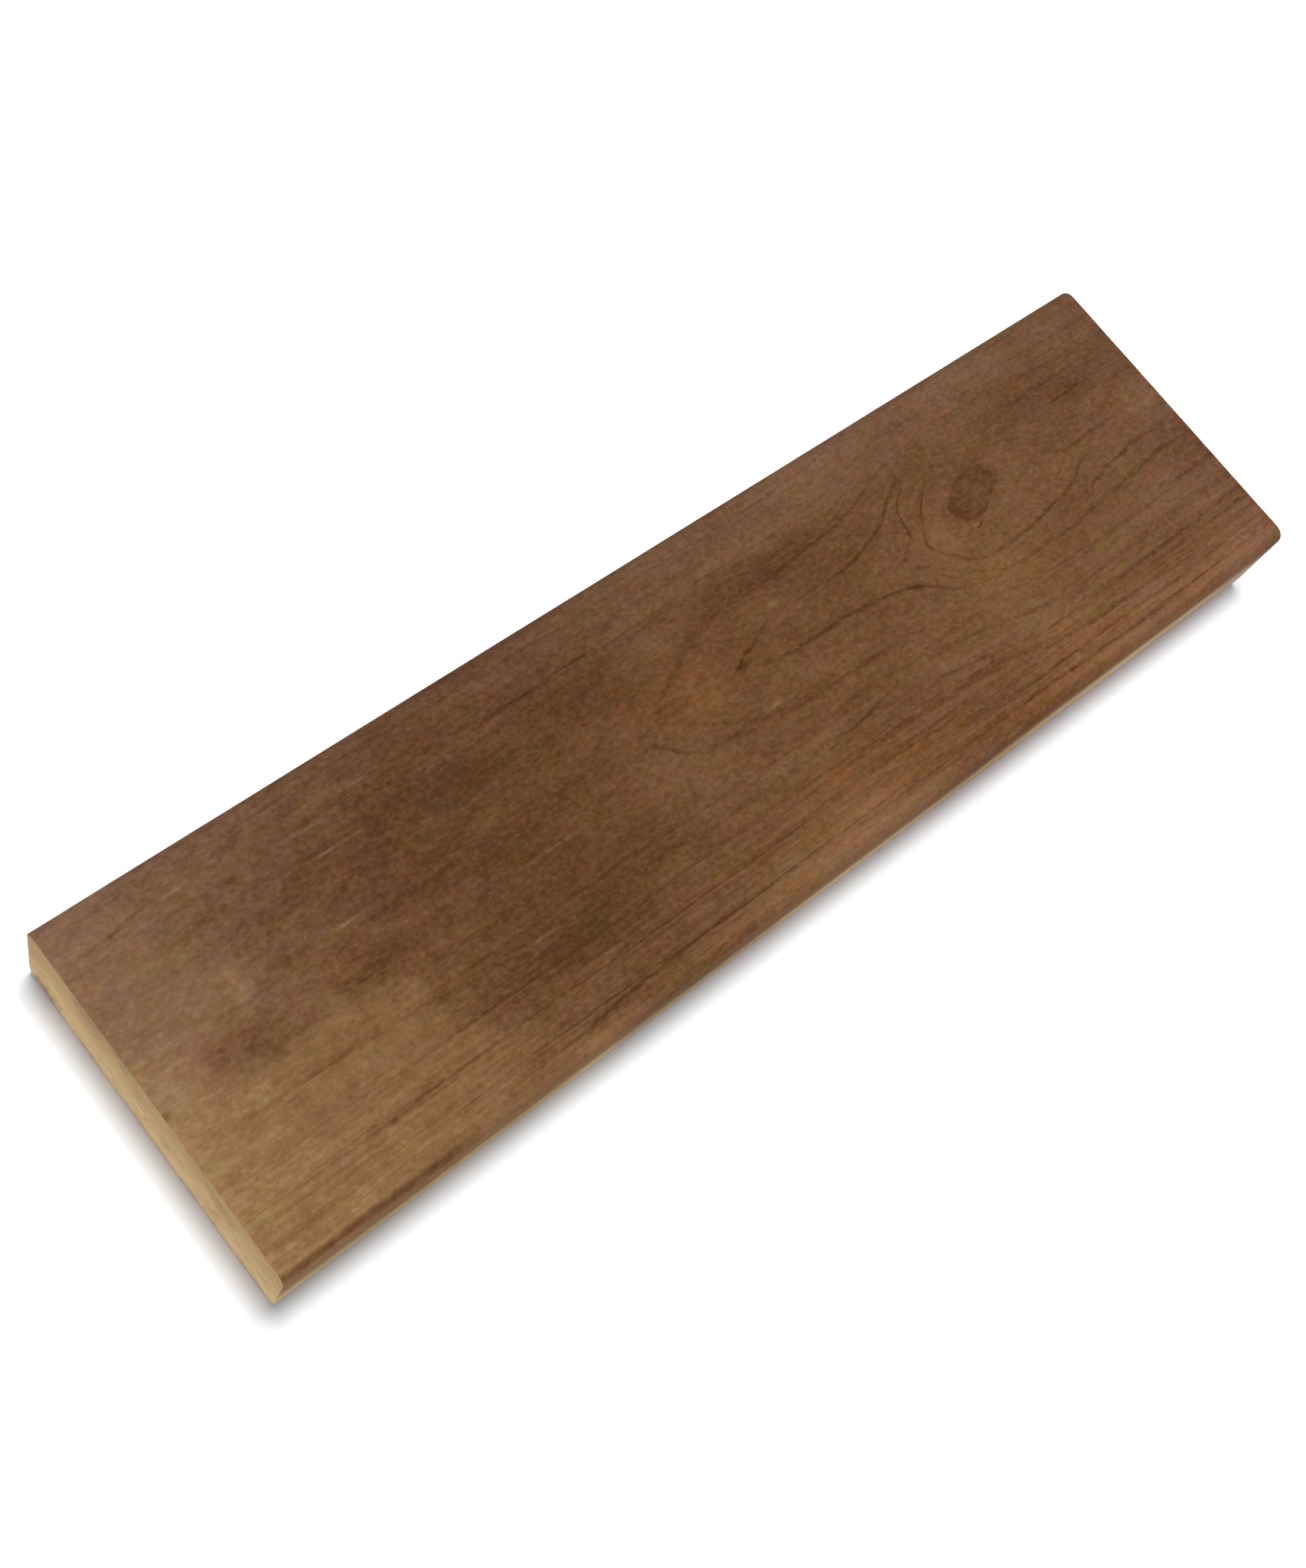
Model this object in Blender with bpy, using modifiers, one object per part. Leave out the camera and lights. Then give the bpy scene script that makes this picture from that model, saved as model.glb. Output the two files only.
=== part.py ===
"""Thermally modified alder board: one length of planed board, sawn square at both ends.

The board is a single piece of wood, so it is a single object. Its section comes from a
moulder: four planed faces, with each long arris rounded by the same cutters. The two ends
are crosscut, so their edges are almost sharp and only lightly worn.

Frame: metres, +Z up. +X runs along the grain, +Y across the width, and the origin is the
middle of the underside, so the board lies on the plane Z = 0.
"""

import math

import bpy

# Driving dimensions of the board.
LENGTH = 0.324            # saw cut to saw cut, along the grain
WIDTH = 0.090             # planed width
THICKNESS = 0.028         # planed thickness
ARRIS_RADIUS = 0.0034     # rounding of the four long arrises
ARRIS_FACETS = 12         # strips that make up each rounded arris
SAWN_EDGE_WEAR = 0.0004   # wear along the edges of the two saw cuts
SAWN_EDGE_FACETS = 2

# A rounded arris turns by a few degrees from strip to strip, a saw cut by a right angle.
SHARP_ANGLE = math.radians(40.0)
SMOOTH_ANGLE = math.radians(35.0)

# Planed face of the heat-treated wood: a mid brown, satin and not metallic.
WOOD_COLOUR = (0.215, 0.122, 0.066, 1.0)
WOOD_ROUGHNESS = 0.58

COLLECTION_NAME = "thermally_modified_alder_board"
BOARD_NAME = "board"


def clear_scene():
    """Remove every object that the file opened with."""
    for old_object in list(bpy.data.objects):
        bpy.data.objects.remove(old_object, do_unlink=True)


def board_collection():
    """Make the collection that holds the board."""
    collection = bpy.data.collections.new(COLLECTION_NAME)
    bpy.context.scene.collection.children.link(collection)
    return collection


def heat_treated_wood():
    """Make the wood's own material."""
    material = bpy.data.materials.new("heat_treated_alder")
    material.use_nodes = True
    shader = material.node_tree.nodes["Principled BSDF"]
    shader.inputs["Base Color"].default_value = WOOD_COLOUR
    shader.inputs["Roughness"].default_value = WOOD_ROUGHNESS
    shader.inputs["Metallic"].default_value = 0.0
    material.diffuse_color = WOOD_COLOUR
    return material


def squared_blank(collection):
    """Add the four-square blank at its real size, resting on Z = 0."""
    bpy.ops.mesh.primitive_cube_add(size=1.0, location=(0.0, 0.0, THICKNESS / 2))
    blank = bpy.context.active_object
    blank.scale = (LENGTH, WIDTH, THICKNESS)
    bpy.ops.object.transform_apply(location=True, rotation=False, scale=True)
    for holder in list(blank.users_collection):
        holder.objects.unlink(blank)
    collection.objects.link(blank)
    return blank


def mark_long_arrises(blank):
    """Give a bevel weight of 1 to the four edges that run along the grain."""
    mesh = blank.data
    weights = mesh.attributes.new("bevel_weight_edge", "FLOAT", "EDGE")
    for edge in mesh.edges:
        start, end = (mesh.vertices[index].co for index in edge.vertices)
        runs_along_grain = abs(end.x - start.x) > LENGTH / 2
        weights.data[edge.index].value = 1.0 if runs_along_grain else 0.0


def round_long_arrises(blank):
    """Round the four long arrises, as the moulder's cutters do."""
    mark_long_arrises(blank)
    rounding = blank.modifiers.new("rounded long arrises", "BEVEL")
    rounding.limit_method = "WEIGHT"
    rounding.width = ARRIS_RADIUS
    rounding.segments = ARRIS_FACETS


def wear_sawn_edges(blank):
    """Take the keenness off the edges around both saw cuts."""
    wear = blank.modifiers.new("worn sawn edges", "BEVEL")
    wear.limit_method = "ANGLE"
    wear.angle_limit = SHARP_ANGLE
    wear.width = SAWN_EDGE_WEAR
    wear.segments = SAWN_EDGE_FACETS


def shade_board(blank):
    """Shade the rounded arrises smooth and keep the faces crisp."""
    blank.data.shade_smooth()
    blank.data.set_sharp_from_angle(angle=SMOOTH_ANGLE)


def build_board():
    """Model the board from its blank."""
    clear_scene()
    board = squared_blank(board_collection())
    board.name = BOARD_NAME
    board.data.name = BOARD_NAME
    board.data.materials.append(heat_treated_wood())
    round_long_arrises(board)
    wear_sawn_edges(board)
    shade_board(board)


build_board()
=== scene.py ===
"""Looks of a thermally modified alder board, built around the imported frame.

One length of planed board, 28 x 90 mm in section, lies on a pale table. Metres, +Z up,
+X along the grain. The near end in the main view is the one at -X.
"""

import math

import bmesh
import bpy
from mathutils import Matrix, Vector


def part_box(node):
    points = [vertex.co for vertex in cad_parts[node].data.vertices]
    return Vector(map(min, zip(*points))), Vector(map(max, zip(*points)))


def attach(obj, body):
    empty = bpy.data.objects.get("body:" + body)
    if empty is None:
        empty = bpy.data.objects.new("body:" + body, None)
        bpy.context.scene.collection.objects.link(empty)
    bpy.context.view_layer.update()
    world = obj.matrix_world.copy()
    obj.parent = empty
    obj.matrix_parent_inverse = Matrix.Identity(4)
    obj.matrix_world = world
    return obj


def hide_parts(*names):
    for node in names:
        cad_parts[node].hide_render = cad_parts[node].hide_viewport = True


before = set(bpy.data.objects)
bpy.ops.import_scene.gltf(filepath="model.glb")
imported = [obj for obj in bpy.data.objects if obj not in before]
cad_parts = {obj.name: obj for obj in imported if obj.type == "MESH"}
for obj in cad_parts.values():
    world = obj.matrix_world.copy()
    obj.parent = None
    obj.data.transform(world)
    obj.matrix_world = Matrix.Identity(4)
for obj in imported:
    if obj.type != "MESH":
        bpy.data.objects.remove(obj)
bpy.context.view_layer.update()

scene = bpy.context.scene

# Camera
# It hangs above the near end and is turned by about a third of a right angle, so that the
# board runs corner to corner. Its place, aim and turn were solved from the board's outline.
CAMERA_PLACE = Vector((-0.2293, -0.0776, 0.4413))
CAMERA_AIM = Vector((-0.0300, -0.0038, 0.0280))
CAMERA_TURN = math.radians(32.95)
CAMERA_LENS = 46.61
CAMERA_SENSOR = 36.0
CAMERA_NEAREST = 0.01

camera_data = bpy.data.cameras.new("camera")
camera_data.sensor_fit = "AUTO"
camera_data.sensor_width = CAMERA_SENSOR
camera_data.lens = CAMERA_LENS
camera_data.clip_start = CAMERA_NEAREST
camera = bpy.data.objects.new("camera", camera_data)
scene.collection.objects.link(camera)
level_view = (CAMERA_AIM - CAMERA_PLACE).to_track_quat("-Z", "Y").to_matrix()
camera.matrix_world = (Matrix.Translation(CAMERA_PLACE)
                       @ (level_view @ Matrix.Rotation(CAMERA_TURN, 3, "Z")).to_4x4())
scene.camera = camera

# Table
# A plain matt white sheet under the board, large enough to reach past the frame's edges.
TABLE_SIZE = 6.0
TABLE_COLOUR = (0.885, 0.91, 0.935, 1.0)
TABLE_ROUGHNESS = 0.9
TABLE_SHEEN = 0.1
TABLE_DROP = 0.00002      # keeps the sheet just clear of the board's underside

bpy.ops.object.select_all(action="DESELECT")
bpy.ops.mesh.primitive_plane_add(size=TABLE_SIZE, location=(0.0, 0.0, -TABLE_DROP))
table = bpy.context.active_object
table.name = "table"
table_paint = bpy.data.materials.new("matt_white_table")
table_paint.use_nodes = True
table_shader = table_paint.node_tree.nodes["Principled BSDF"]
table_shader.inputs["Base Color"].default_value = TABLE_COLOUR
table_shader.inputs["Roughness"].default_value = TABLE_ROUGHNESS
table_shader.inputs["Specular IOR Level"].default_value = TABLE_SHEEN
table.data.materials.append(table_paint)

# Light
# A high softbox beyond the far side keeps the shadow short, a low panel in front lights
# the near end, and a white room fills in the rest.
LAMPS = (
    # name, place, size, power
    ("softbox", Vector((0.14, 0.25, 2.38)), 0.62, 53.0),
    ("near_panel", Vector((-1.88, -1.08, 0.24)), 0.42, 19.5),
)
ROOM_COLOUR = (0.97, 0.99, 1.04, 1.0)
ROOM_BRIGHTNESS = 0.32

for lamp_name, lamp_place, lamp_size, lamp_power in LAMPS:
    lamp_data = bpy.data.lights.new(lamp_name, "AREA")
    lamp_data.shape = "SQUARE"
    lamp_data.size = lamp_size
    lamp_data.energy = lamp_power
    lamp = bpy.data.objects.new(lamp_name, lamp_data)
    scene.collection.objects.link(lamp)
    lamp.location = lamp_place
    lamp.rotation_euler = (-lamp_place).to_track_quat("-Z", "Y").to_euler()
    lamp.visible_glossy = lamp_name != "softbox"

room = bpy.data.worlds.new("room")
room.use_nodes = True
room.node_tree.nodes["Background"].inputs["Color"].default_value = ROOM_COLOUR
room.node_tree.nodes["Background"].inputs["Strength"].default_value = ROOM_BRIGHTNESS
scene.world = room
scene.view_settings.view_transform = "Standard"
scene.view_settings.look = "None"

# Board
# One length of alder that was heated in steam until it browned all through. A moulder
# planed its four faces and rounded the long arrises, and a saw crosscut both ends.
low, high = (Vector(corner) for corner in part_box("board"))
LENGTH, WIDTH, THICKNESS = high - low
MIDDLE = (low + high) / 2
ARRIS_RADIUS = 0.0034
ARRIS_STRIPS = 10
SAWN_EDGE_WEAR = 0.00035
SAWN_EDGE_STRIPS = 3
SAWN_EDGE_ANGLE = math.radians(60.0)  # edges that turn by more than this lie round a saw cut
SMOOTH_ANGLE = math.radians(35.0)     # edges that turn by less than this are shaded smooth
SAW_MARGIN = 0.0003       # plain rim left round the cells of each saw cut
NEARLY = 0.00001          # slack when an edge is picked by its direction

# Cells of the mesh: long along the grain and fine across it, as the relief of the wood is.
CELLS_ALONG = (10, 18)    # the second number divides each cell of the first
CELLS_ACROSS = (10, 17)
CELLS_DEEP = 30
SAW_CELL_WIDE = 0.0006
SAW_CELL_HIGH = 0.0020


def pick(board_mesh, kind, wanted):
    """Select the edges or faces of the mesh in edit mode that the test asks for."""
    bpy.ops.mesh.select_all(action="DESELECT")
    bpy.ops.mesh.select_mode(type=kind)
    cage = bmesh.from_edit_mesh(board_mesh)
    for part in (cage.edges if kind == "EDGE" else cage.faces):
        part.select_set(wanted(part))
    cage.select_flush_mode()
    bmesh.update_edit_mesh(board_mesh)


def edge_run(edge):
    """The edge as an unsigned vector."""
    along = edge.verts[1].co - edge.verts[0].co
    return Vector(abs(value) for value in along)


def is_long_arris(edge):
    return edge_run(edge).x > LENGTH / 2


def is_sawn_edge(edge):
    return edge.calc_face_angle(0.0) > SAWN_EDGE_ANGLE


def is_saw_cut(face):
    return abs(face.normal.x) > 0.99


def is_inside_margin(face):
    """A face of a saw cut that isn't part of the rim round it."""
    return is_saw_cut(face) and all(
        abs(corner.co.y) < WIDTH / 2 - SAWN_EDGE_WEAR - SAW_MARGIN / 2
        and abs(corner.co.z - MIDDLE.z) < THICKNESS / 2 - SAWN_EDGE_WEAR - SAW_MARGIN / 2
        for corner in face.verts)


def subdivide_along(board_mesh, axis, shortest, steps):
    """Cut every edge that runs along one axis and is longer than shortest into steps."""
    others = [index for index in range(3) if index != axis]

    def wanted(edge):
        run = edge_run(edge)
        return run[axis] > shortest and max(run[index] for index in others) < NEARLY
    pick(board_mesh, "EDGE", wanted)
    bpy.ops.mesh.subdivide(number_cuts=steps - 1)


def slice_saw_cuts(board_mesh, direction, size, step):
    """Cut the two saw cuts into strips, square to one direction."""
    strips = math.floor(size / step)
    for index in range(1, strips):
        pick(board_mesh, "FACE", is_inside_margin)
        cut_place = MIDDLE + direction * (index / strips - 0.5) * size
        bpy.ops.mesh.bisect(plane_co=cut_place, plane_no=direction)


bpy.ops.object.select_all(action="DESELECT")
bpy.ops.mesh.primitive_cube_add(size=1.0, location=MIDDLE, scale=(LENGTH, WIDTH, THICKNESS))
board = bpy.context.active_object
board.name = "planed_board"
board.data.name = "planed_board"
bpy.ops.object.transform_apply(location=True, rotation=True, scale=True)

bpy.ops.object.mode_set(mode="EDIT")
pick(board.data, "EDGE", is_long_arris)
bpy.ops.mesh.bevel(offset=ARRIS_RADIUS, segments=ARRIS_STRIPS, affect="EDGES")
pick(board.data, "EDGE", is_sawn_edge)
bpy.ops.mesh.bevel(offset=SAWN_EDGE_WEAR, segments=SAWN_EDGE_STRIPS, affect="EDGES")
pick(board.data, "FACE", is_saw_cut)
bpy.ops.mesh.inset(thickness=SAW_MARGIN, depth=0.0)
slice_saw_cuts(board.data, Vector((0.0, 1.0, 0.0)), WIDTH, SAW_CELL_WIDE)
slice_saw_cuts(board.data, Vector((0.0, 0.0, 1.0)), THICKNESS, SAW_CELL_HIGH)
subdivide_along(board.data, 0, LENGTH / 2, CELLS_ALONG[0])
subdivide_along(board.data, 0, LENGTH / 20, CELLS_ALONG[1])
subdivide_along(board.data, 1, WIDTH / 2, CELLS_ACROSS[0])
subdivide_along(board.data, 1, WIDTH / 20, CELLS_ACROSS[1])
subdivide_along(board.data, 2, THICKNESS / 2, CELLS_DEEP)
bpy.ops.object.mode_set(mode="OBJECT")


def press(name, kind, settings, place, size, depth, faces=""):
    """Sink a pattern into the faces, never above them, and keep it in the mesh."""
    pattern = bpy.data.textures.new(name, kind)
    for setting, value in settings.items():
        setattr(pattern, setting, value)
    holder = bpy.data.objects.new(name, None)
    scene.collection.objects.link(holder)
    holder.location = place
    holder.scale = size
    relief = board.modifiers.new(name, "DISPLACE")
    relief.texture = pattern
    relief.texture_coords = "OBJECT"
    relief.texture_coords_object = holder
    relief.mid_level = 1.0
    relief.strength = depth
    relief.vertex_group = faces
    bpy.context.view_layer.update()
    bpy.context.view_layer.objects.active = board
    bpy.ops.object.modifier_apply(modifier=name)
    bpy.data.objects.remove(holder)
    bpy.data.textures.remove(pattern)


# Raised grain, slow ripple from the planer's feed, and the blade's arcs on both saw cuts.
BLADE_MIDDLE = (0.0, -0.150, -0.060)
press("raised_grain", "CLOUDS", {"noise_scale": 1.0, "noise_depth": 2},
      place=(0.0, 0.0, 0.0), size=(0.0110, 0.0011, 0.0011), depth=0.000050)
press("broad_ripple", "CLOUDS", {"noise_scale": 1.0, "noise_depth": 1},
      place=(0.0, 0.0, 0.0), size=(0.0600, 0.0090, 0.0090), depth=0.000080)
sawn_faces = board.vertex_groups.new(name="sawn_faces")
sawn_faces.add([corner.index for corner in board.data.vertices
                if abs(corner.co.x) > LENGTH / 2 - SAWN_EDGE_WEAR / 2], 1.0, "REPLACE")
press("blade_arcs", "WOOD", {"wood_type": "RINGS", "noise_basis_2": "SIN"},
      place=BLADE_MIDDLE, size=(0.0070, 0.0070, 0.0070), depth=0.000012, faces=sawn_faces.name)
board.vertex_groups.clear()
bpy.ops.object.shade_smooth_by_angle(angle=SMOOTH_ANGLE)


class Grain:
    """A value that varies through the wood: one socket, with shader maths as arithmetic."""

    tree = None

    def __init__(self, socket):
        self.socket = socket

    @classmethod
    def node(cls, kind, settings=None, inputs=None, outlet=0):
        """Add a node: its settings first, then the values or links of its sockets."""
        made = cls.tree.nodes.new(kind)
        for name, value in (settings or {}).items():
            if name == "stops":
                cls.set_stops(made, value)
            elif name == "points":
                cls.set_points(made, value)
            else:
                setattr(made, name, value)
        for name, value in (inputs or {}).items():
            if isinstance(value, Grain):
                cls.tree.links.new(value.socket, made.inputs[name])
            else:
                made.inputs[name].default_value = value
        return cls(made.outputs[outlet])

    @staticmethod
    def set_points(made, points):
        """Give a float curve straight runs between the points."""
        curve = made.mapping.curves[0]
        while len(curve.points) < len(points):
            curve.points.new(0.5, 0.5)
        for point, place in zip(curve.points, points):
            point.location = place
            point.handle_type = "VECTOR"
        made.mapping.use_clip = False
        made.mapping.extend = "HORIZONTAL"
        made.mapping.update()

    @staticmethod
    def set_stops(made, stops):
        """Give a colour ramp its stops."""
        ramp = made.color_ramp
        while len(ramp.elements) < len(stops):
            ramp.elements.new(1.0)
        for element, (place, colour) in zip(ramp.elements, stops):
            element.position = place
            element.color = colour

    @classmethod
    def maths(cls, operation, *terms):
        return cls.node("ShaderNodeMath", {"operation": operation}, dict(enumerate(terms)))

    @classmethod
    def vectors(cls, operation, *terms, outlet=0):
        return cls.node("ShaderNodeVectorMath", {"operation": operation},
                        dict(enumerate(terms)), outlet)

    def __add__(self, other):
        return Grain.maths("ADD", self, other)

    def __sub__(self, other):
        return Grain.maths("SUBTRACT", self, other)

    def __rsub__(self, other):
        return Grain.maths("SUBTRACT", other, self)

    def __mul__(self, other):
        return Grain.maths("MULTIPLY", self, other)

    def __truediv__(self, other):
        return Grain.maths("DIVIDE", self, other)

    def __pow__(self, power):
        return Grain.maths("POWER", self, power)

    __radd__ = __add__
    __rmul__ = __mul__


def root(value):
    return Grain.maths("SQRT", value)


def size_of(value):
    return Grain.maths("ABSOLUTE", value)


def smaller(value, other):
    return Grain.maths("MINIMUM", value, other)


def larger(value, other):
    return Grain.maths("MAXIMUM", value, other)


def bell(value):
    """1 where the value is 0, falling away as exp(-value squared) on both sides."""
    return Grain.maths("EXPONENT", value * value * -1.0)


def fade(value, start, end):
    """A soft step from 0 at start to 1 at end; it falls where end is less than start."""
    if end < start:
        return 1.0 - fade(value, end, start)
    return Grain.node("ShaderNodeMapRange", {"interpolation_type": "SMOOTHSTEP"},
                      {"Value": value, "From Min": start, "From Max": end})


def at(x, y, z):
    return Grain.node("ShaderNodeCombineXYZ", None, {"X": x, "Y": y, "Z": z})


def cloud(place, detail=2.0, roughness=0.5):
    """Smooth noise about 0, mostly within half a unit each way."""
    raw = Grain.node("ShaderNodeTexNoise", None,
                     {"Vector": place, "Scale": 1.0, "Detail": detail, "Roughness": roughness})
    return raw * 2.0 - 1.0


def ovals(place, table):
    """The sum of soft ovals, each given as middle, half length, half width and strength."""
    total = 0.0
    for middle_x, middle_y, half_long, half_wide, strength in table:
        shrink = (1.0 / half_long, 1.0 / half_wide, 0.0)
        shift = (-middle_x / half_long, -middle_y / half_wide, 0.0)
        local = Grain.vectors("MULTIPLY_ADD", place, shrink, shift)
        squared = Grain.vectors("DOT_PRODUCT", local, local, outlet=1)
        total = Grain.maths("EXPONENT", squared * -1.0) * strength + total
    return total


def tint(factor, first, second, way="MIX"):
    return Grain.node("ShaderNodeMix", {"data_type": "RGBA", "blend_type": way},
                      {0: factor, 6: first, 7: second}, outlet=2)


wood = bpy.data.materials.new("heat_treated_alder")
wood.use_nodes = True
Grain.tree = wood.node_tree
shader = wood.node_tree.nodes["Principled BSDF"]

# Places in the wood, in millimetres from the middle of the underside. Every length in the
# material is in millimetres, and a place divided by a length gives noise cells of that size.
# A number added to such a place takes another part of the noise.
MM = 1000.0
OBJECT_PLACE = 3          # outlet of the coordinate node that gives places in the object
millimetres = Grain.vectors("SCALE", Grain.node("ShaderNodeTexCoord", outlet=OBJECT_PLACE))
millimetres.socket.node.inputs["Scale"].default_value = MM
x, y, z = (Grain.node("ShaderNodeSeparateXYZ", None, {"Vector": millimetres}, outlet=axis)
           for axis in range(3))
HALF_LENGTH, HALF_WIDTH, DEPTH = LENGTH * MM / 2, WIDTH * MM / 2, THICKNESS * MM
on_saw_cut = fade(size_of(x), HALF_LENGTH - 0.14, HALF_LENGTH - 0.06)
on_lower_arris = fade(z, 8.0, 4.0) * fade(size_of(y), HALF_WIDTH - 3.2, HALF_WIDTH - 1.2)
on_narrow_edge = larger(fade(size_of(y), HALF_WIDTH - 0.30, HALF_WIDTH - 0.06), on_lower_arris)

# The tree's pith runs under the board. A branch left the knot, and the rings swell up
# round it like a hill that is steep towards -X and long towards +X. A ridge joins it.
PITH_Y = 7.5
PITH_DRIFT = -0.0065      # sideways wander of the pith along the board
PITH_DEPTH = 31.3         # below the underside
HILL_X, HILL_Y = 84.0, 7.7
HILL_NEAR, HILL_FAR, HILL_SIDE = 18.0, 120.0, 23.7
HILL_HEIGHT, HILL_FALL = 30.0, 2.42
RIDGE_X, RIDGE_Y = 13.8, 7.8
RIDGE_NEAR, RIDGE_FAR, RIDGE_SIDE = 16.8, 120.0, 13.7
RIDGE_HEIGHT = 6.2
SWELL_X, SWELL_Y = 168.0, 4.0        # another branch left the tree just past the far end
SWELL_LONG, SWELL_SIDE, SWELL_HEIGHT = 16.0, 16.0, 6.0


def along_from(middle, near, far):
    """The distance along the grain from a middle, in lengths near towards -X and far towards +X."""
    away = x - middle
    return smaller(away, 0.0) / near + larger(away, 0.0) / far


height_share = (z + PITH_DEPTH) / (DEPTH + PITH_DEPTH)
hill_run = along_from(HILL_X, HILL_NEAR, HILL_FAR)
hill_side = (y - HILL_Y) / HILL_SIDE
hill = HILL_HEIGHT * (hill_run * hill_run + hill_side * hill_side + 1.0) ** (-HILL_FALL)
ridge = (RIDGE_HEIGHT * bell(along_from(RIDGE_X, RIDGE_NEAR, RIDGE_FAR))
         * bell((y - RIDGE_Y) / RIDGE_SIDE))
swell = SWELL_HEIGHT * bell((x - SWELL_X) / SWELL_LONG) * bell((y - SWELL_Y) / SWELL_SIDE)
wander = (cloud(at(x / 60.0, y / 22.0, z / 22.0), detail=1.0) * 0.55
          + cloud(at(x / 11.0, y / 4.5, z / 4.5)) * 0.42
          + cloud(at(x / 3.5, y / 1.6, z / 1.6), detail=1.0) * 0.10)
pith_side = y - x * PITH_DRIFT - PITH_Y
pith_up = z + PITH_DEPTH
from_pith = root(pith_side * pith_side + pith_up * pith_up)
radius = from_pith - (hill + ridge + swell) * height_share + wander

# Rings end at these distances from the pith, wide and narrow years in turn.
RING_RADII = (10.0, 15.5, 21.0, 26.2, 31.3, 36.0, 40.8, 45.4, 49.7, 53.9,
              59.0, 63.5, 67.6, 71.2, 75.2, 79.0, 82.5, 86.0)
YEARS = len(RING_RADII) - 1
RING_SPAN = RING_RADII[-1] - RING_RADII[0]
years = Grain.node("ShaderNodeFloatCurve",
                   {"points": [((r - RING_RADII[0]) / RING_SPAN, index / YEARS)
                               for index, r in enumerate(RING_RADII)]},
                   {"Value": (radius - RING_RADII[0]) / RING_SPAN}) * YEARS
year = Grain.maths("FLOOR", years)
season = Grain.maths("FRACT", years)  # 0 is spring, and each ring ends dark and dense at 1
late_line = fade(season, 0.90, 0.955) * fade(season, 1.0, 0.975)
late_shade = fade(season, 0.35, 0.96) * fade(season, 1.0, 0.97)
early_line = fade(season, 0.12, 0.02)

# Where the rings stand out and where the heat has hidden them, each a soft oval: the
# place of its middle, its half length and half width, and its strength.
RING_ACCENTS = (
    (-55.0, -38.5, 40.0, 4.0, 0.30),
    (80.0, -41.0, 90.0, 4.0, 0.06),
    (50.0, -30.0, 60.0, 4.0, -0.05),
    (-140.0, -24.0, 30.0, 8.0, 0.10),
    (90.0, 8.0, 40.0, 20.0, -1.60),
    (20.0, 8.0, 50.0, 14.0, -0.25),
    (-110.0, 18.0, 60.0, 26.0, -0.15),
)
RING_FAINT = 0.25
flat_place = at(x, y, 0.0)
on_top = fade(z, DEPTH - 6.0, DEPTH - 2.0)
YEAR_SHIFT = 3.7          # keeps the noise of one ring apart from that of the next
patchiness = cloud(at(x / 14.0, year * YEAR_SHIFT, y / 14.0), roughness=0.6)
patchiness = fade(patchiness, -0.40, 0.35)
ring_strength = (larger(ovals(flat_place, RING_ACCENTS) * on_top + RING_FAINT, 0.0)
                 * (patchiness * 0.6 + 0.4))

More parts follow.
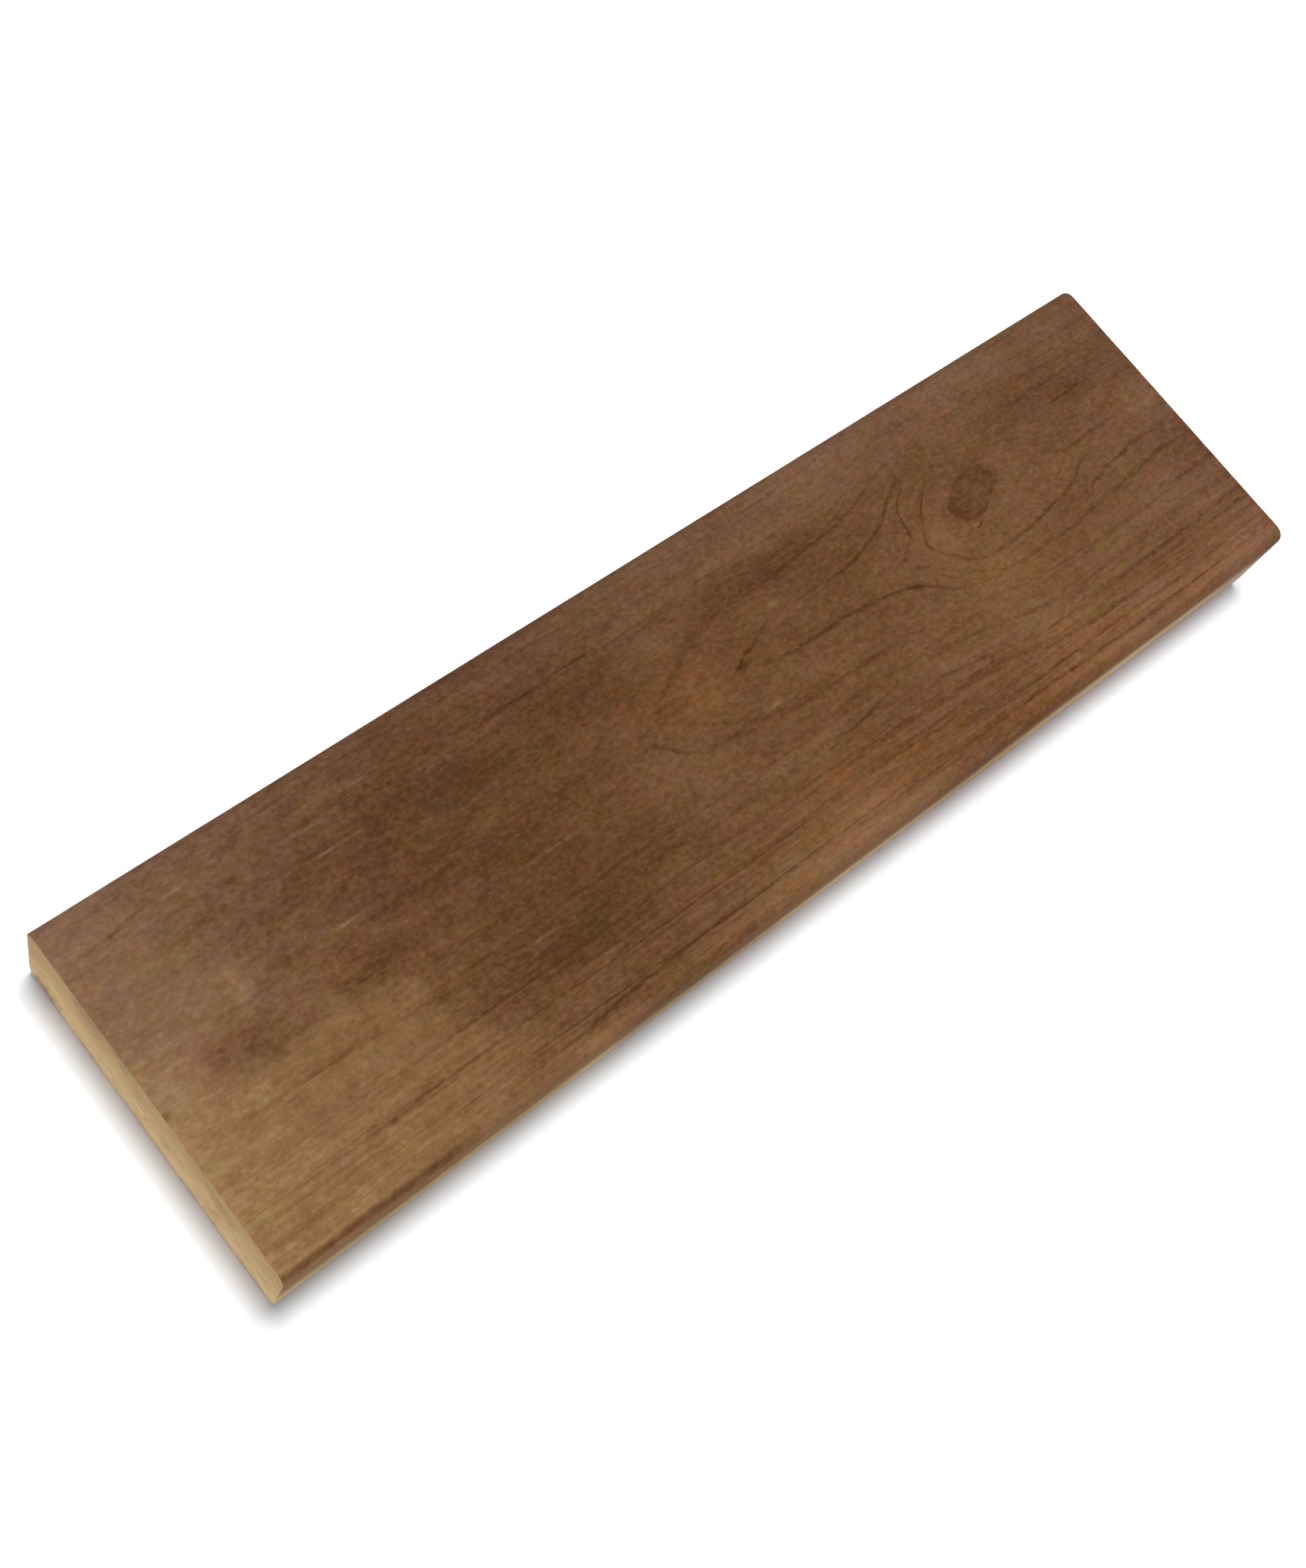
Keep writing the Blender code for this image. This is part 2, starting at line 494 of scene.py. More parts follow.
# The ring lines that stand out on the top face, where the planer cut the rings at a flat
# angle. Each has a half width, then points: place along it, place across it, darkness.
LINES_ALONG = (
    (0.50, ((5.5, 6.6, 0.0), (7.5, 7.8, 0.9), (10.0, 9.5, 0.9), (13.0, 10.1, 0.8),
            (16.0, 11.0, 0.35), (20.0, 13.0, 0.3), (24.0, 14.5, 0.0))),
    (0.45, ((10.0, 4.6, 0.0), (13.0, 4.2, 0.25), (20.0, 3.8, 0.6), (27.0, 3.5, 0.75),
            (34.0, 3.8, 0.8), (40.0, 3.5, 0.7), (46.0, 2.7, 0.8), (52.0, 1.8, 0.8),
            (56.0, 1.0, 0.85), (60.0, 0.2, 1.0), (62.0, -1.0, 0.9), (64.0, -2.5, 0.7),
            (67.0, -5.0, 0.6), (70.0, -6.8, 0.4), (76.0, -8.6, 0.15), (82.0, -9.8, 0.0))),
    (0.45, ((30.0, 13.4, 0.0), (36.0, 13.5, 0.4), (41.0, 13.2, 0.25), (45.0, 13.3, 0.7),
            (50.0, 13.8, 0.9), (54.0, 14.6, 0.85), (58.0, 15.8, 0.9), (61.0, 16.5, 0.6),
            (65.0, 18.0, 0.5), (68.0, 20.0, 0.6), (71.0, 22.6, 0.6), (74.0, 24.0, 0.5),
            (78.0, 25.0, 0.45), (83.0, 26.0, 0.3), (90.0, 27.0, 0.0))),
    (0.45, ((40.0, 22.8, 0.0), (45.0, 23.2, 0.4), (55.0, 24.2, 0.35), (60.0, 25.2, 0.4),
            (66.0, 27.0, 0.5), (74.0, 29.5, 0.3), (80.0, 30.5, 0.0))),
    (0.40, ((24.0, 21.2, 0.0), (29.0, 22.0, 0.35), (39.0, 22.6, 0.4), (42.0, 22.8, 0.0))),
    (0.50, ((-62.0, 31.0, 0.0), (-56.0, 30.8, 0.4), (-35.0, 30.4, 0.5), (-25.0, 30.8, 0.6),
            (-20.0, 30.4, 0.1), (-10.0, 28.0, 0.35), (0.0, 29.5, 0.3), (8.0, 31.0, 0.0))),
    (0.50, ((3.0, -8.0, 0.0), (8.0, -8.0, 0.35), (13.0, -8.2, 0.3), (22.0, -8.8, 0.45),
            (30.0, -8.5, 0.4), (36.0, -9.0, 0.4), (45.0, -9.6, 0.3), (60.0, -10.8, 0.3),
            (66.0, -11.5, 0.25), (75.0, -13.0, 0.3), (90.0, -16.0, 0.3), (100.0, -16.7, 0.4),
            (135.0, -17.2, 0.35), (150.0, -15.8, 0.3), (160.0, -15.4, 0.3))),
    (0.85, ((-29.0, 4.6, 0.0), (-25.0, 4.0, 0.35), (-22.0, 1.5, 0.5), (-19.0, -1.5, 0.5),
            (-15.0, -4.0, 0.45), (-10.0, -5.0, 0.4), (-5.0, -5.5, 0.5), (2.0, -7.5, 0.0))),
    (0.85, ((-22.0, 6.0, 0.0), (-18.0, 9.0, 0.2), (-14.0, 12.0, 0.2), (-8.0, 14.5, 0.15),
            (0.0, 17.0, 0.0))),
    (0.45, ((62.0, 5.5, 0.0), (65.0, 3.6, 0.3), (68.0, 1.6, 0.3), (71.0, -1.0, 0.4),
            (74.0, -3.5, 0.5), (77.0, -5.5, 0.5), (80.0, -7.2, 0.4), (86.0, -9.6, 0.35),
            (92.0, -10.2, 0.4), (110.0, -10.3, 0.4), (120.0, -9.2, 0.2), (133.0, -8.4, 0.3),
            (140.0, -7.5, 0.5), (146.0, -6.8, 0.65), (151.0, -6.4, 0.7), (157.0, -6.9, 0.3),
            (162.0, -7.5, 0.15))),
    (0.45, ((72.5, 3.5, 0.0), (74.0, 2.3, 0.3), (76.0, 0.2, 0.5), (78.0, -1.6, 0.5),
            (81.0, -3.6, 0.6), (85.0, -4.5, 0.55), (90.0, -4.7, 0.5), (95.0, -4.5, 0.75),
            (100.0, -3.9, 0.75), (105.0, -3.2, 0.85), (110.0, -2.6, 0.9), (116.0, -1.6, 0.6),
            (121.0, -0.3, 0.45), (124.0, 1.6, 0.6), (127.0, 3.0, 0.55), (130.0, 4.5, 0.0))),
    (0.50, ((119.0, -4.8, 0.0), (123.0, -4.3, 0.5), (126.0, -3.7, 0.5), (130.0, -2.7, 0.5),
            (134.0, -2.2, 0.8), (138.0, -1.8, 0.7), (142.0, -1.0, 0.4), (146.0, -0.6, 0.6),
            (150.0, -1.0, 0.4), (156.0, -1.6, 0.25), (162.0, -2.6, 0.15))),
    (0.40, ((134.0, 3.6, 0.0), (140.0, 3.3, 0.25), (146.0, 3.0, 0.35), (153.0, 3.2, 0.4),
            (162.0, 3.0, 0.2))),
    (0.50, ((118.0, 10.0, 0.0), (121.0, 9.2, 0.4), (125.0, 7.2, 0.4), (130.0, 7.3, 0.7),
            (134.0, 7.9, 0.55), (139.0, 8.1, 0.4), (143.0, 8.0, 0.0))),
    (1.10, ((126.0, 12.4, 0.0), (130.0, 12.2, 0.1), (136.0, 12.1, 0.15), (141.0, 11.5, 0.2),
            (144.0, 11.8, 0.25), (148.0, 13.4, 0.25), (151.0, 15.2, 0.3), (154.0, 16.8, 0.35),
            (158.0, 17.2, 0.25), (162.0, 16.0, 0.2))),
    (0.50, ((118.0, 26.4, 0.0), (122.0, 26.0, 0.4), (132.0, 25.8, 0.4), (140.0, 25.8, 0.3),
            (146.0, 26.0, 0.0))),
    (0.50, ((128.0, 20.8, 0.0), (134.0, 20.6, 0.4), (140.0, 20.4, 0.4), (145.0, 21.0, 0.0))),
    (0.50, ((98.0, -23.8, 0.0), (105.0, -23.6, 0.2), (120.0, -23.3, 0.3), (160.0, -23.1, 0.3))),
    (0.55, ((48.0, -16.4, 0.0), (56.0, -17.2, 0.4), (62.0, -18.0, 0.55), (70.0, -19.1, 0.55),
            (77.0, -20.9, 0.5), (83.0, -22.1, 0.55), (89.0, -23.1, 0.4), (97.0, -23.8, 0.0))),
    (0.50, ((44.0, -22.0, 0.0), (52.0, -22.7, 0.35), (60.0, -24.3, 0.45), (68.0, -25.4, 0.4),
            (76.0, -26.8, 0.25), (87.0, -28.0, 0.35), (100.0, -28.1, 0.0))),
    (0.50, ((48.0, -14.4, 0.0), (54.0, -14.6, 0.45), (66.0, -14.8, 0.45), (76.0, -14.6, 0.0))),
    (0.45, ((10.0, -21.4, 0.0), (13.0, -21.0, 0.6), (19.0, -20.3, 0.6), (25.0, -19.6, 0.6),
            (31.0, -18.7, 0.5), (38.0, -17.6, 0.3), (42.0, -17.2, 0.0))),
    (0.45, ((-4.0, -24.4, 0.0), (0.0, -24.6, 0.35), (20.0, -25.5, 0.4), (40.0, -26.6, 0.4),
            (54.0, -27.4, 0.65), (63.0, -28.1, 0.65), (70.0, -28.8, 0.65), (77.0, -30.0, 0.5),
            (83.0, -30.6, 0.4), (90.0, -31.2, 0.35), (101.0, -31.6, 0.0))),
    (0.45, ((74.0, -30.8, 0.0), (79.0, -31.8, 0.45), (90.0, -32.8, 0.45), (101.0, -33.2, 0.3),
            (112.0, -33.4, 0.3), (130.0, -33.4, 0.35), (161.0, -33.2, 0.3))),
    (0.55, ((98.0, -28.2, 0.0), (104.0, -27.9, 0.5), (117.0, -28.0, 0.6), (130.0, -27.8, 0.6),
            (140.0, -28.0, 0.5), (150.0, -27.5, 0.4), (161.0, -27.1, 0.4))),
    (0.50, ((100.0, -30.7, 0.0), (112.0, -30.4, 0.4), (125.0, -30.3, 0.5), (140.0, -30.2, 0.45),
            (161.0, -30.0, 0.4))),
    (0.45, ((-90.0, -40.8, 0.0), (-83.0, -40.2, 0.5), (-70.0, -39.4, 0.7), (-60.0, -38.8, 0.8),
            (-45.0, -38.5, 0.7), (-25.0, -38.5, 0.6), (0.0, -39.4, 0.4), (40.0, -39.6, 0.5),
            (50.0, -39.7, 0.65), (60.0, -39.9, 0.6), (70.0, -39.6, 0.7), (77.0, -39.7, 0.6),
            (87.0, -40.3, 0.85), (97.0, -40.4, 0.8), (110.0, -40.6, 0.85), (120.0, -40.4, 0.8),
            (130.0, -40.2, 0.6), (140.0, -40.1, 0.5), (161.0, -39.6, 0.5))),
    (0.50, ((50.0, -36.4, 0.0), (57.0, -36.7, 0.4), (75.0, -37.0, 0.5), (80.0, -37.0, 0.8),
            (90.0, -37.1, 0.7), (100.0, -37.0, 0.8), (110.0, -36.9, 0.7), (120.0, -37.2, 0.8),
            (137.0, -37.0, 0.5), (161.0, -36.4, 0.5))),
    (0.45, ((-162.0, -12.4, 0.2), (-150.0, -13.0, 0.2), (-141.0, -13.6, 0.4),
            (-130.0, -14.2, 0.4), (-120.0, -14.6, 0.3), (-106.0, -15.1, 0.3), (-98.0, -15.4, 0.0))),
    (0.40, ((-162.0, -28.8, 0.3), (-150.0, -29.4, 0.4), (-130.0, -30.0, 0.4),
            (-120.0, -30.4, 0.5), (-108.0, -30.6, 0.5), (-96.0, -31.4, 0.3), (-88.0, -32.0, 0.0))),
    (0.40, ((-136.0, -30.9, 0.0), (-128.0, -31.2, 0.4), (-115.0, -31.8, 0.5),
            (-100.0, -32.4, 0.4), (-90.0, -32.9, 0.3), (-80.0, -33.2, 0.0))),
    (0.50, ((-158.0, 33.6, 0.0), (-155.0, 33.8, 0.5), (-150.0, 34.0, 0.5), (-145.0, 35.0, 0.6),
            (-140.0, 36.0, 0.5), (-132.0, 36.4, 0.3), (-124.0, 36.2, 0.0))),
)
LINES_ACROSS = (
    (0.45, ((2.5, 73.6, 0.0), (5.0, 71.9, 0.5), (6.5, 71.3, 0.9), (8.0, 71.5, 1.0),
            (9.2, 72.3, 0.8), (10.4, 73.4, 0.5), (11.6, 74.2, 0.15), (13.0, 75.0, 0.5),
            (15.5, 77.0, 0.7), (17.5, 79.2, 0.7), (19.5, 81.6, 0.5), (21.5, 84.2, 0.0))),
    (0.50, ((7.6, 62.6, 0.0), (8.6, 64.6, 0.5), (9.6, 67.2, 0.6), (10.6, 68.9, 0.6),
            (12.0, 69.7, 0.5), (15.0, 70.1, 0.8), (17.2, 70.5, 0.8), (19.5, 72.0, 0.6),
            (22.3, 75.0, 0.4), (24.0, 78.0, 0.0))),
)
LINE_SPAN = 400.0         # millimetres for the whole run of a line's two curves


def as_unit(value):
    return value / LINE_SPAN + 0.5


def drawn_lines(run, side, lines):
    """The darkness of all the lines of one table, for points at as_unit places run and side."""
    total = 0.0
    for half_width, points in lines:
        places = [(as_unit(along), as_unit(across)) for along, across, _ in points]
        shades = [(as_unit(along), darkness) for along, _, darkness in points]
        route = Grain.node("ShaderNodeFloatCurve", {"points": places}, {"Value": run})
        dark = Grain.node("ShaderNodeFloatCurve", {"points": shades}, {"Value": run})
        total = bell((side - route) * (LINE_SPAN / half_width)) * dark + total
    return total


line_wobble = (cloud(at(x / 9.0, y / 5.0, 3.0), detail=1.0) * 0.50
               + cloud(at(x / 2.2, y / 1.6, 7.0), roughness=0.6) * 0.42)
line_breaks = fade(cloud(at(x / 2.6, y / 1.4, 11.0), roughness=0.6), -0.45, 0.25) * 0.6 + 0.4
line_x = as_unit(x + line_wobble)
line_y = as_unit(y + line_wobble)
ring_lines = drawn_lines(line_x, line_y, LINES_ALONG) + drawn_lines(line_y, line_x, LINES_ACROSS)
ring_lines = ring_lines * line_breaks * on_top

# The knot, an oval with flattened sides that narrows to the pith, a hair crack beside it,
# and the fibres that part round it.
KNOT_X, KNOT_Y = 92.7, 11.8
KNOT_TURN = math.radians(24.0)
KNOT_LONG, KNOT_WIDE = 8.9, 5.0
KNOT_SQUARE = 3.0         # 2 gives an oval, more gives it flatter sides


def turned(away_x, away_y):
    """Distances along and across the knot's own length."""
    turn_cos, turn_sin = math.cos(KNOT_TURN), math.sin(KNOT_TURN)
    return away_x * turn_cos + away_y * turn_sin, away_y * turn_cos - away_x * turn_sin


knot_dx = x - KNOT_X
knot_dy = y - KNOT_Y
knot_along, knot_across = turned(knot_dx, knot_dy)
knot_u = size_of(knot_along / KNOT_LONG)
knot_v = size_of(knot_across / KNOT_WIDE)
knot_wobble = cloud(at(x / 4.5, y / 4.5, z / 9.0)) * 0.30
knot_oval = (knot_u ** KNOT_SQUARE + knot_v ** KNOT_SQUARE) ** (1.0 / KNOT_SQUARE)
knot_radius = knot_oval / height_share + knot_wobble
in_knot = fade(knot_radius, 1.09, 0.91)
knot_break = fade(cloud(at(x / 5.0 + 20.0, y / 5.0, z / 9.0), detail=1.0), -0.45, 0.25)
knot_rim = bell((knot_radius - 0.97) / 0.10) * knot_break
knot_ring = bell((knot_radius - 0.55) / 0.09)
CHECK_X, CHECK_Y = 88.3, 3.7
CHECK_LONG, CHECK_WIDE = 1.5, 0.28
check_along, check_across = turned(x - CHECK_X, y - CHECK_Y)
knot_check = bell(check_along / CHECK_LONG) * bell(check_across / CHECK_WIDE) * on_top

PARTING = 11.0
parting_range = knot_dx * knot_dx * 0.6 + knot_dy * knot_dy
fibre_y = knot_dy * parting_range / (parting_range + PARTING * PARTING)

# Texture of the fibres, from broad streaks down to single vessels.
band_streaks = cloud(at(x / 120.0, radius / 1.5, 0.0), detail=3.0, roughness=0.6)
fine_bands = cloud(at(x / 45.0, radius / 0.55, 5.0))
fibre_streaks = cloud(at(x / 9.0, fibre_y / 1.1, z / 1.1), detail=3.0, roughness=0.6)
short_streaks = cloud(at(x / 3.0, fibre_y / 0.8, z / 0.8 + 9.0), roughness=0.6)
vessels = cloud(at(x / 3.0, fibre_y / 0.30, z / 0.30), roughness=0.6)
speckle = cloud(at(x / 1.5, y / 1.15, z / 1.15), detail=3.0, roughness=0.72)
mottle = cloud(at(x / 4.5, y / 3.0, z / 3.0), detail=3.0, roughness=0.65)
broad_mottle = cloud(at(x / 30.0, y / 15.0, z / 20.0), detail=3.0, roughness=0.55)
pores = fade(vessels, 0.16, 0.42)
fleck_patches = fade(cloud(at(x / 22.0, y / 9.0 + 30.0, z / 9.0)), 0.0, 0.5) * 0.8 + 0.2
flecks = fade(cloud(at(x / 4.5, fibre_y / 0.5, z / 0.5 + 40.0), detail=1.0), 0.36, 0.62)
bright_flecks = flecks * fleck_patches
parallel_side = fade(y, -14.0, -34.0)

# Small marks seen on the top face: glints of torn fibre, dark spots and paler scratches.
MARKS = (
    (-101.5, 24.5, 3.0, 0.36, 0.36),
    (-94.5, 24.5, 3.0, 0.34, 0.18),
    (-107.0, 8.9, 3.2, 0.36, 0.40),
    (-101.0, 31.2, 2.4, 0.38, 0.24),
    (-86.0, 34.3, 3.0, 0.34, 0.22),
    (-74.5, -18.0, 2.8, 0.36, 0.28),
    (-86.0, -2.0, 4.5, 0.30, 0.12),
    (-58.0, -2.9, 8.0, 0.35, 0.16),
    (-134.0, 35.2, 3.0, 0.35, 0.12),
    (8.5, -4.8, 2.2, 0.38, 0.30),
    (18.0, -20.4, 7.0, 0.30, 0.12),
    (25.3, 16.2, 1.3, 0.7, 0.34),
    (85.5, -27.4, 1.4, 0.35, 0.28),
    (84.5, -38.4, 1.0, 0.5, 0.24),
    (134.4, -8.0, 0.5, 12.0, 0.08),
    (135.0, -24.2, 0.4, 1.6, 0.12),
    (80.0, -39.6, 0.6, 2.2, -0.10),
    (141.0, 13.5, 0.6, 3.0, 0.08),
    (152.0, 10.5, 0.8, 3.0, 0.05),
    (157.2, 5.5, 1.6, 2.4, 0.10),
    (63.2, 7.0, 1.7, 0.55, -0.22),
    (8.2, 7.2, 1.3, 1.0, -0.28),
    (60.8, -0.4, 1.5, 0.9, -0.22),
    (64.9, 8.2, 1.2, 0.5, -0.16),
    (61.9, 8.3, 0.5, 1.0, -0.14),
    (-161.4, -3.5, 0.7, 0.8, -0.34),
    (-25.0, 30.6, 2.6, 0.6, -0.12),
    (84.8, 10.2, 1.8, 2.8, -0.10),
    (87.0, 8.0, 2.0, 1.6, -0.06),
    (100.6, 14.0, 1.6, 2.2, -0.12),
    (92.8, 16.8, 2.2, 0.7, -0.12),
    (90.8, 6.5, 3.0, 0.6, -0.12),
    (94.0, 11.5, 2.4, 2.2, 0.05),
    (86.5, 5.6, 1.4, 0.5, 0.10),
    (76.0, 6.5, 3.5, 3.0, 0.07),
)
marks = ovals(flat_place, MARKS) * on_top

# Clouds left by the heat, as soft ovals that lighten or darken, with ragged edges.
HEAT_CLOUDS = (
    # The first oval lightens the -X end: partly the wood's own colour and partly painted light and
    # sheen.
    (-172.0, -6.0, 40.0, 90.0, 0.36),
    (-157.0, 1.0, 7.0, 7.0, 0.10),
    (-121.0, -5.0, 6.0, 4.0, 0.12),
    (-114.0, -20.0, 14.0, 14.0, 0.06),
    (-140.0, 0.0, 11.0, 5.0, -0.18),
    (-124.0, 10.0, 7.0, 2.5, -0.10),
    (-110.0, -1.0, 6.0, 8.0, -0.10),
    (-134.0, 9.0, 3.0, 7.0, 0.14),
    (-142.0, 15.0, 14.0, 6.0, 0.06),
    (-154.0, -41.0, 12.0, 5.0, -0.09),
    (-143.0, -36.0, 16.0, 4.0, -0.05),
    (-120.0, 38.0, 34.0, 9.0, 0.06),
    (-92.0, -40.0, 9.0, 5.0, -0.10),
    (-97.0, 20.0, 12.0, 10.0, -0.04),
    (-70.0, 8.0, 36.0, 32.0, -0.12),
    (-58.0, -22.0, 22.0, 14.0, -0.09),
    (-40.0, 24.0, 40.0, 16.0, -0.04),
    (-7.0, 6.0, 14.0, 9.0, 0.08),
    (75.0, 4.0, 13.0, 13.0, 0.06),
    (5.0, -44.0, 34.0, 10.0, 0.20),
    (130.0, -43.0, 60.0, 10.0, 0.17),
    (-60.0, -46.0, 40.0, 5.0, 0.08),
    (-110.0, -48.0, 60.0, 12.0, 0.10),
    (100.0, 44.0, 110.0, 11.0, 0.09),
    (25.0, 20.0, 34.0, 9.0, -0.04),
    (52.0, -33.0, 14.0, 8.0, -0.03),
    (105.0, -14.0, 60.0, 16.0, 0.05),
    (76.0, -14.0, 20.0, 18.0, 0.06),
    (100.0, -40.0, 26.0, 6.0, 0.10),
    (-12.0, -42.0, 16.0, 5.0, 0.06),
    (152.0, -30.0, 14.0, 14.0, 0.05),
    (-10.0, -14.0, 18.0, 9.0, 0.04),
    (157.0, 6.0, 8.0, 10.0, 0.08),
    (-128.0, 6.0, 28.0, 8.0, 0.06),
    (-70.0, 10.0, 9.0, 4.5, 0.08),
    (-71.0, 20.0, 9.0, 5.0, -0.05),
    (-128.0, 22.0, 40.0, 7.0, -0.045),
    (-146.0, -20.0, 13.0, 6.0, -0.05),
    (-152.0, -39.0, 9.0, 4.0, -0.05),
    (-91.0, -38.0, 9.0, 5.0, -0.09),
    (-60.0, -29.0, 18.0, 7.0, -0.04),
    (24.0, 22.0, 18.0, 6.0, -0.09),
    (-30.0, 21.0, 9.0, 6.0, -0.05),
    (86.0, -10.0, 13.0, 7.0, 0.05),
    (29.0, -9.0, 10.0, 6.0, 0.04),
    (60.0, 41.0, 40.0, 5.0, 0.04),
    (-88.0, 20.0, 9.0, 5.0, -0.04),
    (142.0, 21.0, 19.0, 6.0, -0.05),
    (42.0, 31.0, 15.0, 6.0, 0.06),
    (-20.0, -9.0, 18.0, 6.0, 0.04),
    (54.0, -19.0, 10.0, 5.0, -0.04),
    (128.0, -19.0, 16.0, 6.0, 0.06),
    (92.0, -29.0, 14.0, 5.0, 0.06),
    (154.0, -29.0, 10.0, 6.0, 0.06),
    (130.0, -39.0, 18.0, 4.0, 0.04),
    (30.0, 31.0, 26.0, 5.0, 0.04),
    (30.0, 10.0, 12.0, 5.0, 0.04),
    (-24.0, 21.0, 10.0, 5.0, -0.04),
)
UNTREATED = 0.47
ragged_x = x + cloud(at(x / 9.0, y / 6.0, z / 10.0), detail=4.0, roughness=0.65) * 7.0
ragged_y = y + cloud(at(x / 12.0 + 30.0, y / 6.0, z / 10.0), detail=4.0, roughness=0.65) * 5.0
corner_bow = larger(ragged_y * -1.0 - 12.0, 0.0)
corner_end = ragged_x - corner_bow * corner_bow * 0.03
pale_corner = fade(ragged_y, -5.0, -9.0) * fade(corner_end, -98.0, -107.0)
ragged_place = at(ragged_x, ragged_y, 0.0)
heat = ovals(ragged_place, HEAT_CLOUDS) + pale_corner * 0.15 + UNTREATED

# Painted shade on the rounded arrises, which turn away from the light: a darker band, most of all
# near the -X end.
arris_painted_shade = bell((size_of(y) - (HALF_WIDTH - 1.15)) / 0.85)
arris_shade_patches = (fade(cloud(at(x / 30.0, y / 10.0, z / 10.0)), -0.5, 0.3) * 0.10
                   + fade(x, -108.0, -130.0) * fade(y, 0.0, -10.0) * 1.1)

# All of it together, from 0 for the darkest wood to 1 for the palest.
tone = (heat
        + band_streaks * 0.09
        + fine_bands * (parallel_side * 0.18 + 0.05)
        + fibre_streaks * 0.08
        + short_streaks * 0.10
        + speckle * 0.28
        + mottle * (0.09 + fade(x, -60.0, -120.0) * 0.13)
        + broad_mottle * 0.16
        - ring_lines * 0.31
        - late_line * ring_strength * 0.40
        - late_shade * ring_strength * 0.08
        + early_line * ring_strength * 0.05
        - pores * 0.04
        + bright_flecks * 0.26
        + marks
        - in_knot * 0.092
        - knot_ring * 0.024
        - knot_rim * 0.055
        - knot_check * 0.40
        # painted shade on the rounded arrises
        - arris_painted_shade * arris_shade_patches * 0.36)

WOOD_TONES = (
    (0.00, (0.042, 0.0185, 0.0072, 1.0)),
    (0.28, (0.078, 0.0345, 0.0138, 1.0)),
    (0.44, (0.118, 0.0565, 0.0260, 1.0)),
    (0.79, (0.202, 0.114, 0.0590, 1.0)),
    (1.00, (0.265, 0.166, 0.0930, 1.0)),
)
planed_colour = Grain.node("ShaderNodeValToRGB", {"stops": WOOD_TONES}, {"Fac": tone})

# Hue drifts from a red to a yellow brown in streaks, reddest towards the -Y edge, with
# a few orange spots where the fibres rise towards the planed face. The near corner is more
# golden. A painted greyish sheen dulls the +Y side and the far end, and a painted reflection
# of the white table makes the narrow edges pale below.
ORANGE_SPOTS = (
    (76.0, 7.0, 7.0, 10.0, 0.55),
    (-6.0, 9.0, 14.0, 7.0, 0.55),
    (92.0, -12.0, 26.0, 5.0, 0.50),
    (14.0, -29.0, 22.0, 6.0, 0.35),
    (148.0, 10.0, 5.0, 6.0, 0.50),
    (118.0, 4.0, 12.0, 5.0, 0.30),
    (56.0, -17.0, 10.0, 4.0, 0.30),
    (28.0, -9.0, 14.0, 5.0, 0.30),
    (-112.0, 0.0, 6.0, 5.0, 0.40),
)
ORANGE = (1.12, 1.02, 0.84, 1.0)
RED_STREAK = (1.17, 0.955, 0.86, 1.0)
YELLOW_STREAK = (0.96, 1.06, 0.74, 1.0)
GOLDEN = (1.06, 1.02, 0.89, 1.0)
PAINTED_GREY_SHEEN = (0.95, 0.95, 1.18, 1.0)
PAINTED_TABLE_REFLECTION = (2.55, 3.65, 4.50, 1.0)
red_streaks = cloud(at(x / 25.0, radius / 1.4, y / 30.0), detail=3.0, roughness=0.6)
red_streaks = fade(red_streaks, -0.20, 0.40)
red_side = fade(y, -18.0, -40.0) * fade(x, -80.0, 30.0)
red_mottle = cloud(at(x / 6.5, y / 4.0, z / 4.0 + 50.0), detail=4.0, roughness=0.75)
red_mottle = fade(red_mottle, -0.15, 0.45)
knot_side = fade(x, -40.0, 10.0) * fade(y, 34.0, 6.0)
golden_end = larger(pale_corner, fade(x, -70.0, -130.0) * fade(y, 14.0, -12.0))
red_share = (red_streaks * (red_side * 0.6 + 0.25) + red_side * 0.1
             + red_mottle * (0.9 - golden_end * 0.5) * (fade(x, -150.0, -70.0) * 0.4 + 0.6)
             + knot_side * 0.14)
yellow_mottle = cloud(at(x / 9.0, y / 6.0, z / 6.0 + 70.0), detail=5.0, roughness=0.75)
yellow_mottle = fade(yellow_mottle, -0.15, 0.45)
# Painted reflection of the white table: the narrow edges are paler towards the bottom, higher up
# and more strongly towards the far end.
table_reflection_height = z - fade(x, 0.0, 100.0) * 6.0
table_reflection_share = (on_narrow_edge * fade(table_reflection_height, 18.5, 6.5)
              * (fade(x, -150.0, 60.0) * 0.37 + 0.60))
yellow_share = yellow_mottle * (1.0 - golden_end * 0.4) * (1.0 - table_reflection_share * 0.8)
orange_share = ovals(ragged_place, ORANGE_SPOTS) * on_top
# Painted greyish sheen: a cool grey wash on the far end, the +Y side and the +Y half of the -X end.
painted_sheen_ends = fade(x, 90.0, 165.0) * 0.7 + fade(x, -60.0, -110.0) * fade(y, -10.0, 4.0) * 0.5
painted_sheen_share = larger(fade(y, 18.0, 46.0) * 0.8, painted_sheen_ends)


def washed(colour, share, wash):
    """The colour, multiplied by a wash where the share asks for it."""
    return tint(share, colour, tint(1.0, colour, wash, "MULTIPLY"))


for share, wash in ((red_share, RED_STREAK), (yellow_share, YELLOW_STREAK),
                    (painted_sheen_share, PAINTED_GREY_SHEEN), (golden_end, GOLDEN),
                    (orange_share, ORANGE), (table_reflection_share, PAINTED_TABLE_REFLECTION)):
    planed_colour = washed(planed_colour, share, wash)

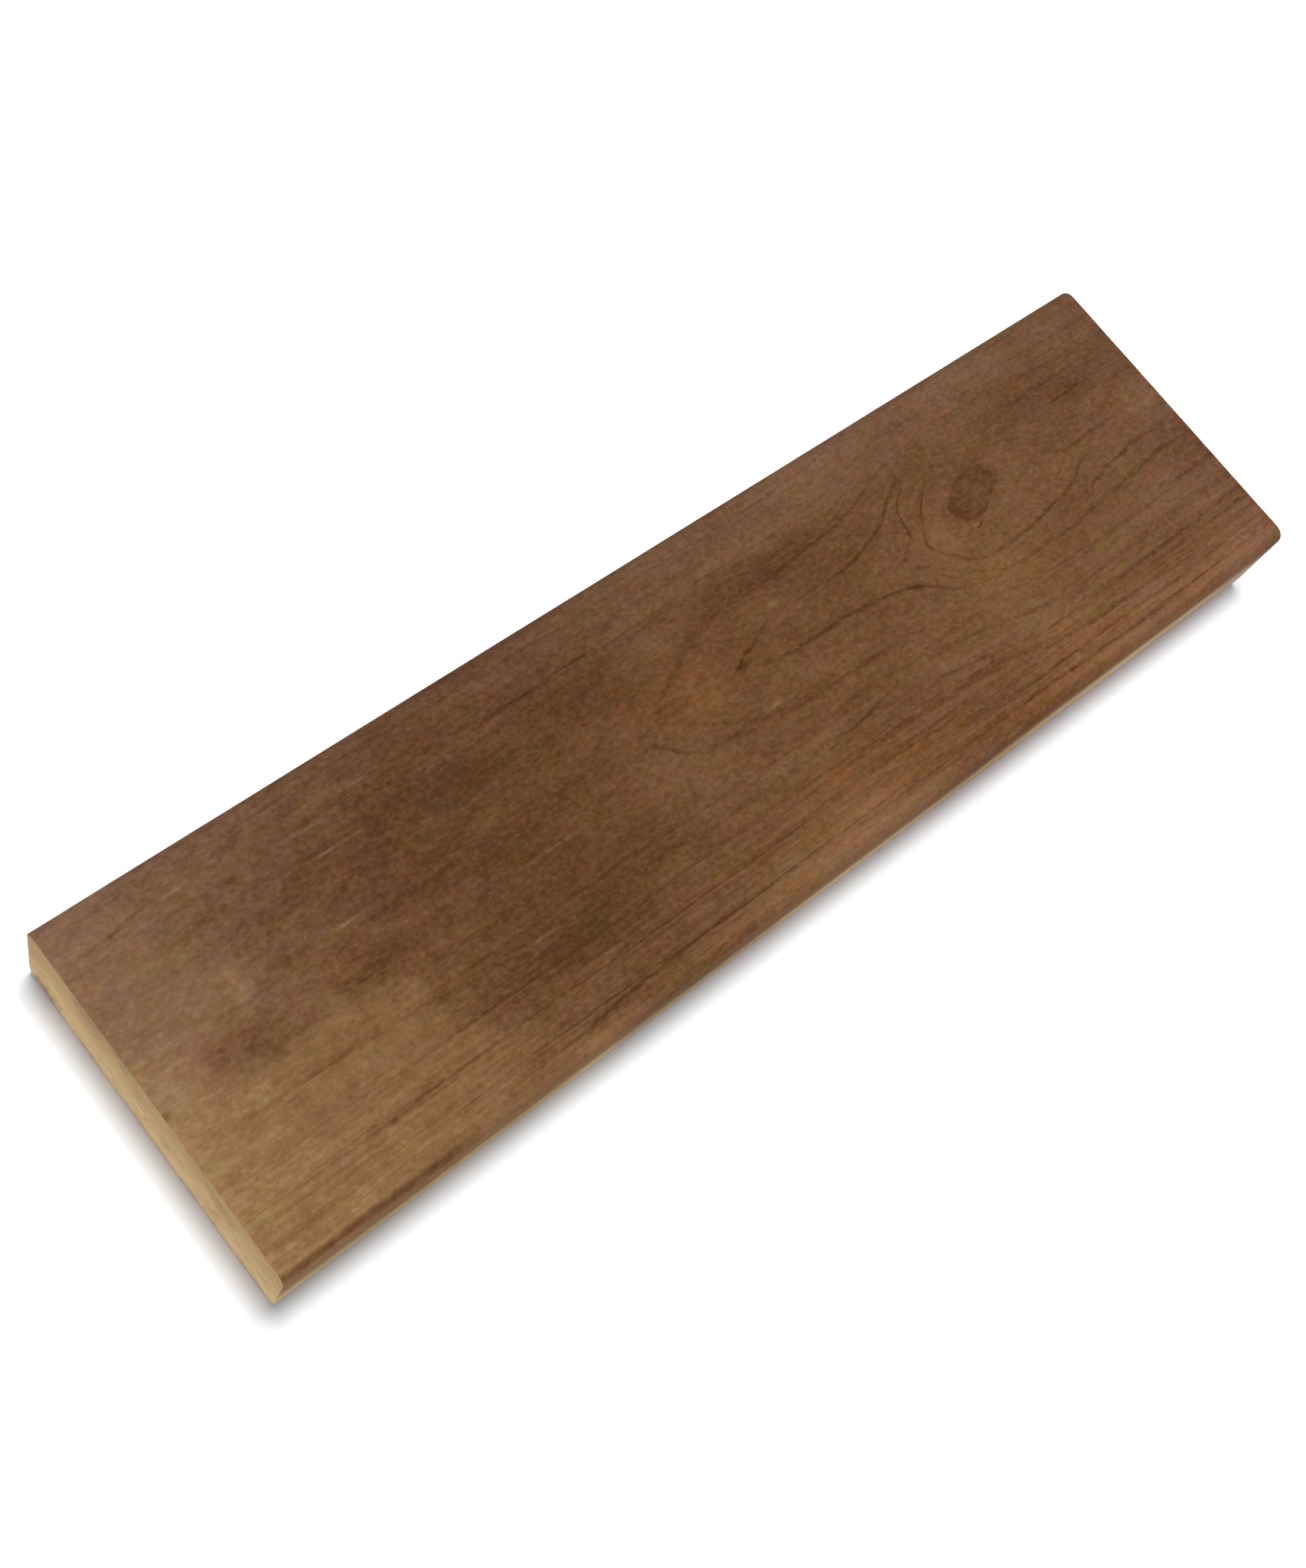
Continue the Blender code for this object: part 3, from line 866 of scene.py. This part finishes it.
# End grain: freshly sawn, lighter and matt, with the rings as arcs and rays across them.
RAYS_AROUND = 150.0       # cells of ray noise in each radian round the pith
ray_angle = Grain.maths("ARCTAN2", pith_side, pith_up)
rays = cloud(at(ray_angle * RAYS_AROUND, radius / 9.0, 0.0), roughness=0.6)
end_pores = cloud(at(0.0, y / 0.28, z / 0.28), roughness=0.6)
end_blotches = cloud(at(x / 20.0, y / 8.0, z / 8.0))
# Painted shade darkens the end grain towards the top, most of all along the top edge, and painted
# light from the table lightens it near the bottom.
sawn_tone = (0.52 + rays * 0.09 + end_pores * 0.12 + end_blotches * 0.13
             - late_line * 0.17 - late_shade * 0.07
             - fade(z, 0.0, DEPTH) * 0.40 - fade(z, DEPTH - 2.6, DEPTH) * 0.35
             + fade(z, 6.0, 0.0) * 0.10)
SAWN_DARK = (0.370, 0.246, 0.120, 1.0)
SAWN_LIGHT = (0.710, 0.510, 0.285, 1.0)
SAWN_TONES = ((0.1, SAWN_DARK), (0.9, SAWN_LIGHT))
sawn_colour = Grain.node("ShaderNodeValToRGB", {"stops": SAWN_TONES}, {"Fac": sawn_tone})
colour = tint(on_saw_cut, planed_colour, sawn_colour)

# Fine relief that the mesh is too coarse for, and a dry surface, drier still where sawn.
BUMP_DEPTH = 0.00005      # in metres, as the bump node takes it
BUMP_STRENGTH = 0.5
PLANED_ROUGHNESS = 0.84
WOOD_SHEEN = 0.03
planed_relief = fibre_streaks * 0.4 + short_streaks * 0.4 - pores * 0.8 + late_line * 0.4
sawn_relief = end_pores + rays * 0.6
height = planed_relief * (1.0 - on_saw_cut) + sawn_relief * on_saw_cut
bump = Grain.node("ShaderNodeBump", None,
                  {"Strength": BUMP_STRENGTH, "Distance": BUMP_DEPTH, "Height": height})
roughness = PLANED_ROUGHNESS - fibre_streaks * 0.06 + pores * 0.06 + on_saw_cut * 0.10

for socket_name, value in (("Base Color", colour), ("Roughness", roughness), ("Normal", bump)):
    wood.node_tree.links.new(value.socket, shader.inputs[socket_name])
shader.inputs["Specular IOR Level"].default_value = WOOD_SHEEN
board.data.materials.clear()
board.data.materials.append(wood)

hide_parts("board")
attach(board, "root")
